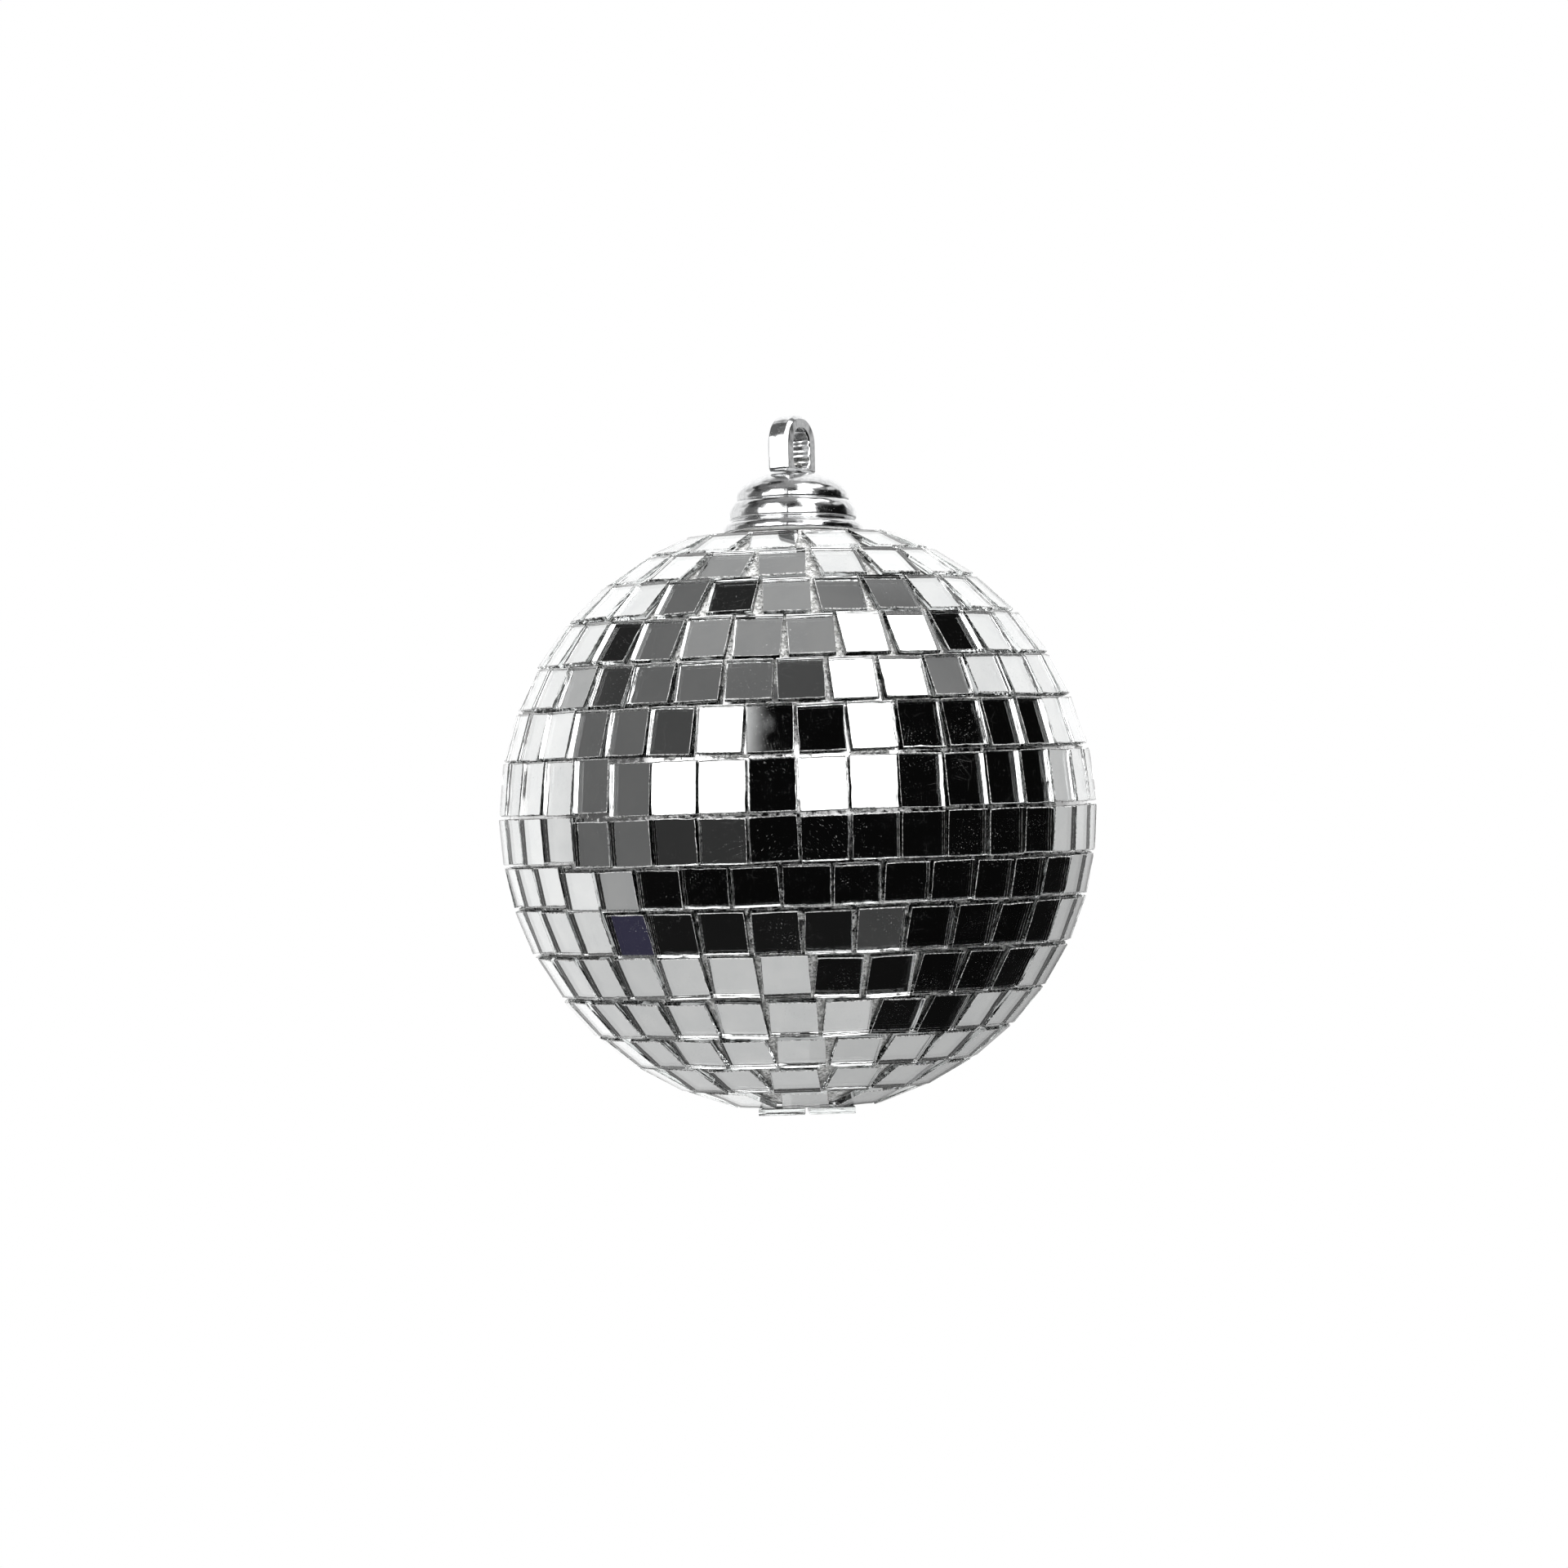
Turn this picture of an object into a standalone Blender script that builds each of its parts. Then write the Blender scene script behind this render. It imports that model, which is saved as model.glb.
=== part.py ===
"""Mirror ball: a foam ball covered with strips of square glass mirror tiles, under a stepped
chrome cap whose hanging eye turns on a rivet. The ball hangs from the eye and spins below it.

The frame is in metres with +Z up. Its origin is the point inside the eye where a cord bears,
and the eye's swivel axis is the Z axis. Azimuths run from the front (-Y) towards the right (+X).
"""

import math
from typing import NamedTuple

import bmesh
import bpy
from mathutils import Matrix, Vector

MM = 0.001

# Gaps: solids that touch in real life stand this far apart.
FIT_GAP = 0.3 * MM
SLIDE_GAP = 0.2 * MM

# The ball, from the middle outwards.
CORE_RADIUS = 30.9 * MM
TAPE_THICKNESS = 0.4 * MM
GLASS_THICKNESS = 0.7 * MM
TAPE_RADIUS = CORE_RADIUS + FIT_GAP
GLASS_RADIUS = TAPE_RADIUS + TAPE_THICKNESS

# The tiles. A strip is one row of tiles on a backing tape.
TILE_WIDTH = 4.9 * MM
TILE_GAP = 0.24 * MM
ROW_GAP = 0.45 * MM
TAPE_INSET = 0.25 * MM
TILE_SINK = 0.15 * MM
SEAM_WIDTH = 0.12 * MM
# Latitudes of the joints between rows, in degrees. Strips laid by hand aren't quite even.
ROW_EDGES = (71.2, 61.9, 51.9, 41.6, 31.2, 21.9, 11.8, 0.9, -8.5, -16.9, -26.5, -36.4, -46.2, -55.7, -65.9, -76.2)
# Azimuth of a joint between two tiles in each row, in degrees.
ROW_STARTS = (6, 7, 6, -2, -4, 0, 0, 0, 6, 0, 2, 4, 7, 7, 19)
# The strip's two ends meet this many tiles to the left of that joint.
ROW_SEAMS = (0, 5, 1, 9, 14, 17, 5, 4, 5, 4, 0, 11, 8, 6, 3)
# The rows lie a little out of square with the cap, tipped forwards and down to the left.
ROWS_PITCH = math.radians(3.0)
ROWS_ROLL = math.radians(-0.75)

# The cap, in heights above the ball's centre.
CAP_TOP = 37.1 * MM
CAP_LAND_RADIUS = 3.2 * MM
CAP_WALL = 1.1 * MM
CAP_HOLE_RADIUS = 0.95 * MM
DOME_BASE = 34.5 * MM
DOME_RADIUS = 6.1 * MM
DOME_HEIGHT = 3.05 * MM
WAIST_BASE = 32.5 * MM
WAIST_RADIUS = 6.87 * MM
WAIST_HEIGHT = 1.9 * MM
FLANGE_BASE = 31.1 * MM
FLANGE_RADIUS = 7.65 * MM
FLANGE_HEIGHT = 0.95 * MM
FLANGE_BOTTOM = 30.55 * MM
TIER_ROUND = 1.35 * MM
TIER_LIP = 0.35 * MM
STEM_RADIUS = 3.1 * MM
STEM_BORE = 2.3 * MM
STEM_BOTTOM = 14.0 * MM
BARB_RADIUS = 3.4 * MM
BARB_HEIGHT = 1.2 * MM
BARB_BOTTOMS = (14.0 * MM, 18.0 * MM, 22.0 * MM)
CORE_BORE_RADIUS = BARB_RADIUS + FIT_GAP
CORE_BORE_BOTTOM = STEM_BOTTOM - 1.5 * MM

# The hanging eye: a flat plate with a rounded top and an oval hole, turned on the swivel.
EYE_WIDTH = 6.5 * MM
EYE_THICKNESS = 2.6 * MM
EYE_BOTTOM = CAP_TOP + SLIDE_GAP
EYE_TOP = 43.6 * MM
EYE_CORNER = 3.0 * MM
EYE_FOOT_FLARE = 0.2 * MM
EYE_BEVEL = 0.36 * MM
EYE_LEG = 1.6 * MM
EYE_BASE = 0.75 * MM
EYE_TOP_BAR = 1.5 * MM
EYE_HOLE_CORNER = 0.7 * MM
EYE_TURN = math.radians(60.0)

# The rivet that holds the eye to the cap, and the washer under it.
RIVET_RADIUS = 0.72 * MM
RIVET_HOLE_RADIUS = RIVET_RADIUS + SLIDE_GAP
RIVET_TOP_RADIUS = 1.15 * MM
RIVET_TOP_HEIGHT = 0.5 * MM
RIVET_HEAD_RADIUS = 1.7 * MM
RIVET_HEAD_HEIGHT = 0.6 * MM
WASHER_RADIUS = 1.9 * MM
WASHER_THICKNESS = 0.4 * MM
WASHER_TOP = CAP_TOP - CAP_WALL - SLIDE_GAP
RIVET_HEAD_TOP = WASHER_TOP - WASHER_THICKNESS - SLIDE_GAP

HANG_HEIGHT = EYE_TOP - EYE_TOP_BAR
BALL_CENTRE = Vector((0, 0, -HANG_HEIGHT))

CORE_SEGMENTS = 40
TURNED_STEPS = 32
SMALL_STEPS = 24
ARC_POINTS = 6
SMOOTH_ANGLE = math.radians(30)
MERGE = 0.00001


class Row(NamedTuple):
    """A strip of tiles round the ball, in the frame of the rows."""

    latitude: float
    tile_height: float
    count: int
    start: float
    seam: float


def clear_scene():
    for obj in list(bpy.data.objects):
        bpy.data.objects.remove(obj)


def new_collection(name):
    collection = bpy.data.collections.new(name)
    bpy.context.scene.collection.children.link(collection)
    return collection


def new_material(name, colour, roughness, metallic):
    material = bpy.data.materials.new(name)
    material.use_nodes = True
    shader = material.node_tree.nodes["Principled BSDF"]
    shader.inputs["Base Color"].default_value = (*colour, 1)
    shader.inputs["Roughness"].default_value = roughness
    shader.inputs["Metallic"].default_value = metallic
    return material


def new_object(name, mesh, collection, parent, material=None):
    obj = bpy.data.objects.new(name, mesh)
    collection.objects.link(obj)
    obj.parent = parent
    if material:
        mesh.materials.append(material)
    return obj


def new_empty(name, collection, parent=None, location=(0, 0, 0), rotation=(0, 0, 0)):
    empty = new_object(name, None, collection, parent)
    empty.location = location
    empty.rotation_euler = rotation
    return empty


def mesh_from(name, bm):
    mesh = bpy.data.meshes.new(name)
    bm.to_mesh(mesh)
    bm.free()
    return mesh


def make_cutter(obj):
    obj.hide_render = True
    obj.display_type = "WIRE"
    return obj


def add_boolean(obj, other, operation):
    modifier = obj.modifiers.new(operation.title(), "BOOLEAN")
    modifier.operation = operation
    modifier.object = other


def shade_smooth(mesh):
    mesh.shade_smooth()
    mesh.set_sharp_from_angle(angle=SMOOTH_ANGLE)


def turned(name, profile, closed, steps, collection, parent, material=None):
    """A solid turned about the Z axis. The profile is (radius, height) points down the outer side."""
    count = len(profile)
    edges = [(i, i + 1) for i in range(count - 1)]
    if closed:
        edges.append((count - 1, 0))
    mesh = bpy.data.meshes.new(name)
    mesh.from_pydata([(radius, 0, height) for radius, height in profile], edges, [])
    obj = new_object(name, mesh, collection, parent, material)
    screw = obj.modifiers.new("Screw", "SCREW")
    screw.steps = steps
    screw.render_steps = steps
    screw.use_merge_vertices = True
    screw.merge_threshold = MERGE
    screw.use_smooth_shade = True
    return obj


def arc(centre, radii, start, end, points=ARC_POINTS):
    """Points of an ellipse's arc about (radius, height) centre, from one angle to another in degrees."""
    turns = [math.radians(start + (end - start) * i / (points - 1)) for i in range(points)]
    return [(centre[0] + radii[0] * math.cos(t), centre[1] + radii[1] * math.sin(t)) for t in turns]


# The rows of tiles


def make_row(upper, lower, start, seam):
    """The strip between two latitudes. Its tiles nearly touch at their corners nearest the pole."""
    latitude = math.radians((upper + lower) / 2)
    half_span = math.radians(upper - lower) / 2
    tile_height = 2 * TAPE_RADIUS * math.tan(half_span) - ROW_GAP
    narrow = GLASS_RADIUS * math.cos(latitude) - tile_height / 2 * abs(math.sin(latitude))
    count = int(math.pi / math.atan((TILE_WIDTH + TILE_GAP) / 2 / narrow))
    return Row(latitude, tile_height, count, math.radians(start), start - seam * 360 / count)


def all_rows():
    pairs = zip(ROW_EDGES, ROW_EDGES[1:])
    return [make_row(*pair, start, seam) for pair, start, seam in zip(pairs, ROW_STARTS, ROW_SEAMS)]


def surface_matrix(azimuth, latitude, radius):
    """A place on the ball: local X points right, Y towards the upper pole and Z outwards."""
    turn = Matrix.Rotation(azimuth, 4, "Z")
    tip = Matrix.Rotation(math.pi / 2 - latitude, 4, "X")
    return turn @ tip @ Matrix.Translation((0, 0, radius))


def add_tile(bm, place, width, height):
    """One glass tile standing on the tape at that place, sunk into it a little."""
    thickness = GLASS_THICKNESS + TILE_SINK
    size = Matrix.Diagonal((width, height, thickness, 1))
    middle = Matrix.Translation((0, 0, thickness / 2 - TILE_SINK))
    bmesh.ops.create_cube(bm, size=1, matrix=place @ middle @ size)


def tape_band(name, row):
    """The strip's backing: a band of flat facets, one under each tile."""
    half = row.tile_height / 2 - TAPE_INSET
    across = TAPE_RADIUS * math.cos(row.latitude)
    up = TAPE_RADIUS * math.sin(row.latitude)
    lean = half * math.sin(row.latitude)
    corner = 1 / math.cos(math.pi / row.count)
    bm = bmesh.new()
    bmesh.ops.create_cone(
        bm,
        cap_ends=False,
        segments=row.count,
        radius1=(across + lean) * corner,
        radius2=(across - lean) * corner,
        depth=2 * half * math.cos(row.latitude),
    )
    bmesh.ops.translate(bm, verts=bm.verts, vec=(0, 0, up))
    bmesh.ops.rotate(bm, verts=bm.verts, matrix=Matrix.Rotation(row.start + math.pi, 3, "Z"))
    return mesh_from(name, bm)


def solidify(obj, thickness):
    modifier = obj.modifiers.new("Solidify", "SOLIDIFY")
    modifier.thickness = thickness
    modifier.offset = 1
    modifier.use_even_offset = True


def seam_cutter(name, row, collection, parent):
    """A thin blade through the tape between two tiles, where the strip's ends meet."""
    bm = bmesh.new()
    place = surface_matrix(math.radians(row.seam), row.latitude, TAPE_RADIUS)
    blade = Matrix.Diagonal((SEAM_WIDTH, 2 * row.tile_height, 4 * TAPE_THICKNESS, 1))
    bmesh.ops.create_cube(bm, size=1, matrix=place @ blade)
    return make_cutter(new_object(name, mesh_from(name, bm), collection, parent))


def add_strip(name, row, part, cutters, parent, material):
    strip = new_object(name, tape_band(name, row), part, parent, material)
    solidify(strip, TAPE_THICKNESS)
    bm = bmesh.new()
    step = 2 * math.pi / row.count
    for i in range(row.count):
        place = surface_matrix(row.start + (i + 0.5) * step, row.latitude, GLASS_RADIUS)
        add_tile(bm, place, TILE_WIDTH, row.tile_height)
    tiles = new_object(name + "_tiles", mesh_from(name + "_tiles", bm), cutters, parent)
    add_boolean(strip, make_cutter(tiles), "UNION")
    add_boolean(strip, seam_cutter(name + "_seam", row, cutters, parent), "DIFFERENCE")


def add_pole_patch(part, cutters, parent, material):
    """Four tiles on a square of tape, which close the hole that the last strip leaves below."""
    side = 2 * TILE_WIDTH + ROW_GAP
    below = surface_matrix(0, -math.pi / 2, TAPE_RADIUS)
    bm = bmesh.new()
    tape = side - 2 * TAPE_INSET
    size = Matrix.Diagonal((tape, tape, TAPE_THICKNESS, 1))
    middle = Matrix.Translation((0, 0, TAPE_THICKNESS / 2))
    bmesh.ops.create_cube(bm, size=1, matrix=below @ middle @ size)
    patch = new_object("pole_patch", mesh_from("pole_patch", bm), part, parent, material)
    bm = bmesh.new()
    offset = (TILE_WIDTH + ROW_GAP) / 2
    for x in (-offset, offset):
        for y in (-offset, offset):
            place = below @ Matrix.Translation((x, y, TAPE_THICKNESS))
            add_tile(bm, place, TILE_WIDTH, TILE_WIDTH)
    tiles = new_object("pole_patch_tiles", mesh_from("pole_patch_tiles", bm), cutters, parent)
    add_boolean(patch, make_cutter(tiles), "UNION")


# The core, the cap and the swivel


def add_core(part, cutters, parent, material):
    """The foam ball, with a blind bore for the cap's stem."""
    bpy.ops.mesh.primitive_uv_sphere_add(
        segments=CORE_SEGMENTS, ring_count=CORE_SEGMENTS // 2, radius=CORE_RADIUS
    )
    core = bpy.context.active_object
    core.name = "foam_core"
    for collection in list(core.users_collection):
        collection.objects.unlink(core)
    part.objects.link(core)
    core.parent = parent
    core.data.materials.append(material)
    shade_smooth(core.data)
    bm = bmesh.new()
    depth = CORE_RADIUS + FIT_GAP - CORE_BORE_BOTTOM
    bmesh.ops.create_cone(
        bm,
        cap_ends=True,
        segments=SMALL_STEPS,
        radius1=CORE_BORE_RADIUS,
        radius2=CORE_BORE_RADIUS,
        depth=depth,
    )
    bmesh.ops.translate(bm, verts=bm.verts, vec=(0, 0, CORE_BORE_BOTTOM + depth / 2))
    bore = new_object("core_bore", mesh_from("core_bore", bm), cutters, parent)
    add_boolean(core, make_cutter(bore), "DIFFERENCE")


def cap_outside():
    """The cap's outer profile: a flat land, a dome, a waist and a flange, each widest at its foot."""
    land = [(CAP_HOLE_RADIUS, CAP_TOP), (CAP_LAND_RADIUS, CAP_TOP)]
    crown = math.degrees(math.asin((CAP_TOP - DOME_BASE) / DOME_HEIGHT))
    land_angle = math.degrees(math.acos(CAP_LAND_RADIUS / DOME_RADIUS))
    dome = arc((0, DOME_BASE), (DOME_RADIUS, DOME_HEIGHT), min(crown, land_angle), 0)
    waist_inner = WAIST_RADIUS - TIER_ROUND
    waist = arc((waist_inner, WAIST_BASE), (TIER_ROUND, WAIST_HEIGHT), 72, 0)
    flange_inner = FLANGE_RADIUS - TIER_ROUND
    flange = arc((flange_inner, FLANGE_BASE), (TIER_ROUND, FLANGE_HEIGHT), 72, 0)
    waist_foot = [(WAIST_RADIUS - TIER_LIP / 2, WAIST_BASE - TIER_LIP)]
    foot = [(FLANGE_RADIUS, FLANGE_BOTTOM)]
    return land + dome[1:] + waist + waist_foot + flange + foot


def cap_inside():
    """The cap's inner profile from the rim up, down round the barbed stem and up its bore."""
    rim = FLANGE_RADIUS - CAP_WALL
    ceiling = CAP_TOP - CAP_WALL
    shell = [
        (rim, FLANGE_BOTTOM),
        (WAIST_RADIUS - CAP_WALL, WAIST_BASE),
        (DOME_RADIUS - CAP_WALL, DOME_BASE),
        (STEM_RADIUS + 0.8 * MM, ceiling),
    ]
    stem = [(STEM_RADIUS, ceiling)]
    for bottom in reversed(BARB_BOTTOMS):
        stem.append((STEM_RADIUS, bottom + BARB_HEIGHT))
        stem.append((BARB_RADIUS, bottom + BARB_HEIGHT))
        if bottom > STEM_BOTTOM:
            stem.append((STEM_RADIUS, bottom))
    stem.append((STEM_RADIUS - 0.2 * MM, STEM_BOTTOM))
    bore = [(STEM_BORE, STEM_BOTTOM), (STEM_BORE, ceiling), (CAP_HOLE_RADIUS, ceiling)]
    return shell + stem + bore


def rivet_profile():
    head_bottom = RIVET_HEAD_TOP - RIVET_HEAD_HEIGHT
    seat = EYE_BOTTOM + EYE_BASE + SLIDE_GAP / 2
    top = arc((0, seat), (RIVET_TOP_RADIUS, RIVET_TOP_HEIGHT), 90, 0)
    shank = [(RIVET_RADIUS, seat), (RIVET_RADIUS, RIVET_HEAD_TOP)]
    head = [(RIVET_HEAD_RADIUS, RIVET_HEAD_TOP), (RIVET_HEAD_RADIUS, head_bottom), (0, head_bottom)]
    return top + shank + head


def washer_profile():
    bottom = WASHER_TOP - WASHER_THICKNESS
    return [
        (RIVET_HOLE_RADIUS, WASHER_TOP),
        (WASHER_RADIUS, WASHER_TOP),
        (WASHER_RADIUS, bottom),
        (RIVET_HOLE_RADIUS, bottom),
    ]


def rounded_outline(half_width, half_foot, bottom, top, corner, foot_corner):
    """A closed outline with a rounded top, running up the right side and down the left."""
    points = [(half_foot - foot_corner, bottom), (half_foot, bottom + foot_corner)]
    points += arc((half_width - corner, top - corner), (corner, corner), 0, 90)
    mirrored = [(-x, z) for x, z in reversed(points)]
    return points + mirrored


def add_outline(curve, points):
    spline = curve.splines.new("POLY")
    spline.points.add(len(points) - 1)
    for point, (x, z) in zip(spline.points, points):
        point.co = (x, z, 0, 1)
    spline.use_cyclic_u = True


def eye_mesh():
    """The eye's plate, upright in the XZ plane and centred on the swivel axis."""
    curve = bpy.data.curves.new("eye_outline", "CURVE")
    curve.dimensions = "2D"
    curve.fill_mode = "BOTH"
    curve.extrude = EYE_THICKNESS / 2
    half = EYE_WIDTH / 2
    foot = half + EYE_FOOT_FLARE
    add_outline(curve, rounded_outline(half, foot, EYE_BOTTOM, EYE_TOP, EYE_CORNER, 0.1 * MM))
    hole_half = half - EYE_LEG
    hole_top = EYE_TOP - EYE_TOP_BAR
    hole_corner = hole_half - 0.2 * MM
    hole_bottom = EYE_BOTTOM + EYE_BASE
    add_outline(curve, rounded_outline(hole_half, hole_half, hole_bottom, hole_top, hole_corner, EYE_HOLE_CORNER))
    flat = bpy.data.objects.new("eye_outline", curve)
    bpy.context.scene.collection.objects.link(flat)
    bpy.context.view_layer.update()
    graph = bpy.context.evaluated_depsgraph_get()
    mesh = bpy.data.meshes.new_from_object(flat.evaluated_get(graph))
    bpy.data.objects.remove(flat)
    bm = bmesh.new()
    bm.from_mesh(mesh)
    bmesh.ops.remove_doubles(bm, verts=bm.verts, dist=MERGE)
    bmesh.ops.rotate(bm, verts=bm.verts, matrix=Matrix.Rotation(math.pi / 2, 3, "X"))
    bm.to_mesh(mesh)
    bm.free()
    return mesh


def add_eye(part, cutters, parent, material):
    eye = new_object("hanging_eye", eye_mesh(), part, parent, material)
    bevel = eye.modifiers.new("Bevel", "BEVEL")
    bevel.width = EYE_BEVEL
    bevel.segments = 1
    bevel.limit_method = "ANGLE"
    bevel.angle_limit = math.radians(60)
    bm = bmesh.new()
    bmesh.ops.create_cone(
        bm,
        cap_ends=True,
        segments=SMALL_STEPS,
        radius1=RIVET_HOLE_RADIUS,
        radius2=RIVET_HOLE_RADIUS,
        depth=3 * EYE_BASE,
    )
    bmesh.ops.translate(bm, verts=bm.verts, vec=(0, 0, EYE_BOTTOM + EYE_BASE / 2))
    hole = new_object("rivet_hole", mesh_from("rivet_hole", bm), cutters, parent)
    add_boolean(eye, make_cutter(hole), "DIFFERENCE")


def build():
    clear_scene()
    part = new_collection("mirror_ball")
    cutters = new_collection("cutters")

    mirror = new_material("mirror_glass", (0.86, 0.88, 0.89), 0.03, 1)
    chrome = new_material("chrome_plated_plastic", (0.82, 0.83, 0.84), 0.06, 1)
    steel = new_material("zinc_plated_steel", (0.62, 0.62, 0.6), 0.35, 1)
    foam = new_material("polystyrene_foam", (0.9, 0.9, 0.88), 0.8, 0)

    centre = new_empty("ball_centre", cutters, location=BALL_CENTRE)
    swivel = new_empty("swivel_axis", cutters, centre, rotation=(0, 0, EYE_TURN))
    rows = new_empty("rows_frame", cutters, centre, rotation=(ROWS_PITCH, ROWS_ROLL, 0))

    add_core(part, cutters, centre, foam)
    for number, row in enumerate(all_rows(), start=1):
        add_strip(f"mirror_strip_{number:02}", row, part, cutters, rows, mirror)
    add_pole_patch(part, cutters, rows, mirror)
    turned("cap", cap_outside() + cap_inside(), True, TURNED_STEPS, part, centre, chrome)
    turned("swivel_rivet", rivet_profile(), False, SMALL_STEPS, part, swivel, steel)
    turned("rivet_washer", washer_profile(), True, SMALL_STEPS, part, swivel, steel)
    add_eye(part, cutters, swivel, chrome)


build()
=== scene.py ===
import math
import random

import bpy
from mathutils import Matrix, Vector, noise


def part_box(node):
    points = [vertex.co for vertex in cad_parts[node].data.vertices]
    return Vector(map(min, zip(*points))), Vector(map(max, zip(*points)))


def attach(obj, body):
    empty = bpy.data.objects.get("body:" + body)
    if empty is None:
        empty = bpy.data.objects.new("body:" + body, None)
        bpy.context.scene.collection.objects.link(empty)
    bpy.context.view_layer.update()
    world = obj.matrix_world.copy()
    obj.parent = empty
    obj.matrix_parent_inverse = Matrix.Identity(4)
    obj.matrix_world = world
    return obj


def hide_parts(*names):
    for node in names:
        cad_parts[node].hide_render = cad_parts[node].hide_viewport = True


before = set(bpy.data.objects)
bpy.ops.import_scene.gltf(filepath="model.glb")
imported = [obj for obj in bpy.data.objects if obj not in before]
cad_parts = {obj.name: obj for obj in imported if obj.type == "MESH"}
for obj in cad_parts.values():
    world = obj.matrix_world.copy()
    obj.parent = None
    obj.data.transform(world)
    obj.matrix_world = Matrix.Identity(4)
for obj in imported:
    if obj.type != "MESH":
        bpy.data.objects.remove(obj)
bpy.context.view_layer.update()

MM = 0.001
CORE_LOW, CORE_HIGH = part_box("foam_core")
CORE_RADIUS = (CORE_HIGH.x - CORE_LOW.x) / 2
CENTRE = Vector(((CORE_LOW.x + CORE_HIGH.x) / 2, (CORE_LOW.y + CORE_HIGH.y) / 2, CORE_LOW.z + CORE_RADIUS))
STRIPS = sorted(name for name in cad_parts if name.startswith("mirror_strip_"))
GLASS = 0.7 * MM

# How far the backing and the foot of the dried glue stand off the foam core
BACKING_RISE = 0.55 * MM
GLUE_RISE = 0.45 * MM


# Small helpers


def grey(value):
    """A screen grey from 0 to 1 as a linear light level."""
    return ((value + 0.055) / 1.055) ** 2.4 if value > 0.04 else value / 12.92


class Nodes:
    """Adds nodes to a tree and links them by socket name or number."""

    def __init__(self, tree):
        self.tree = tree
        tree.nodes.clear()

    def add(self, kind, inputs=None, **settings):
        node = self.tree.nodes.new(kind)
        for key, value in settings.items():
            setattr(node, key, value)
        for key, value in (inputs or {}).items():
            if isinstance(value, bpy.types.NodeSocket):
                self.tree.links.new(value, node.inputs[key])
            else:
                node.inputs[key].default_value = value
        return node

    def math(self, operation, a, b=0.0, clamp=False):
        inputs = {0: a, 1: b}
        return self.add("ShaderNodeMath", inputs, operation=operation, use_clamp=clamp).outputs[0]

    def ramp(self, value, low, high, out_low=0.0, out_high=1.0):
        """A smooth step from one value to another."""
        inputs = {"Value": value, 1: low, 2: high, 3: out_low, 4: out_high}
        return self.add("ShaderNodeMapRange", inputs, interpolation_type="SMOOTHSTEP").outputs[0]

    def mix(self, factor, a, b):
        node = self.add("ShaderNodeMix", data_type="RGBA")
        for index, value in ((0, factor), (6, a), (7, b)):
            if isinstance(value, bpy.types.NodeSocket):
                self.tree.links.new(value, node.inputs[index])
            else:
                node.inputs[index].default_value = value
        return node.outputs[2]

    def noise(self, vector, scale, detail=3.0, rough=0.5):
        inputs = {"Vector": vector, "Scale": scale, "Detail": detail, "Roughness": rough}
        return self.add("ShaderNodeTexNoise", inputs).outputs["Fac"]

    def bump(self, height, strength, distance, normal=None):
        inputs = {"Height": height, "Strength": strength, "Distance": distance}
        if normal is not None:
            inputs["Normal"] = normal
        return self.add("ShaderNodeBump", inputs).outputs[0]

    def place(self):
        """Where a point is on the object, which doesn't change as the object turns."""
        return self.add("ShaderNodeTexCoord").outputs["Object"]


def material(name):
    """A new material, and its empty node tree to fill."""
    made = bpy.data.materials.new(name)
    made.use_nodes = True
    return made, Nodes(made.node_tree)


def finish_material(nodes, shader):
    nodes.add("ShaderNodeOutputMaterial", {"Surface": shader})


def colour(*rgb):
    return (*rgb, 1.0)


# Materials


def specks(n, at, scale, share, size):
    """A mask of scattered round specks: how many of the cells have one, and how much of a cell it fills."""
    cells = n.add("ShaderNodeTexVoronoi", {"Vector": at, "Scale": scale})
    pick = n.add("ShaderNodeSeparateColor", {0: cells.outputs["Color"]}).outputs[0]
    round_spot = n.ramp(cells.outputs["Distance"], size * 0.6, size, 1, 0)
    return n.math("MULTIPLY", round_spot, n.ramp(pick, 1 - share, 1 - share * 0.8))


def hairlines(n, at, scale, width):
    """A mask of long thin scratches."""
    cells = n.add("ShaderNodeTexVoronoi", {"Vector": at, "Scale": scale}, feature="DISTANCE_TO_EDGE")
    line = n.ramp(cells.outputs["Distance"], 0.0, width, 1, 0)
    return n.math("MULTIPLY", line, n.ramp(n.noise(at, 300, 2), 0.54, 0.62))


def clear_glass(n, roughness, normal, tint):
    inputs = {
        "Base Color": tint,
        "Roughness": roughness,
        "IOR": 1.5,
        "Transmission Weight": 1.0,
        "Normal": normal,
    }
    return n.add("ShaderNodeBsdfPrincipled", inputs).outputs[0]


def glass_face_material():
    """The front of a tile: clear glass with dust, a few crumbs of glue and hairline scratches."""
    made, n = material("tile_glass")
    at = n.place()
    wave = n.noise(at, 260, 1)
    glass = clear_glass(n, 0.0, n.bump(wave, 0.04, 0.05 * MM), colour(0.99, 0.995, 0.99))
    patch = n.ramp(n.noise(at, 160, 2), 0.42, 0.66, 0.04, 1)
    dust = n.math("MAXIMUM", specks(n, at, 3600, 0.12, 0.2), specks(n, at, 7500, 0.12, 0.28))
    crumbs = n.math("MULTIPLY", specks(n, at, 2000, 0.02, 0.2), 1.5)
    scratches = n.math("MULTIPLY", hairlines(n, at, 420, 0.006), 0.2)
    marks = n.math("MAXIMUM", n.math("MULTIPLY", n.math("MAXIMUM", dust, crumbs), patch), scratches)
    dull = n.add("ShaderNodeBsdfPrincipled", {"Base Color": colour(0.8, 0.8, 0.79), "Roughness": 0.7})
    share = n.math("MULTIPLY", marks, 0.45, clamp=True)
    shader = n.add("ShaderNodeMixShader", {0: share, 1: glass, 2: dull.outputs[0]})
    finish_material(n, shader.outputs[0])
    return made


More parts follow.
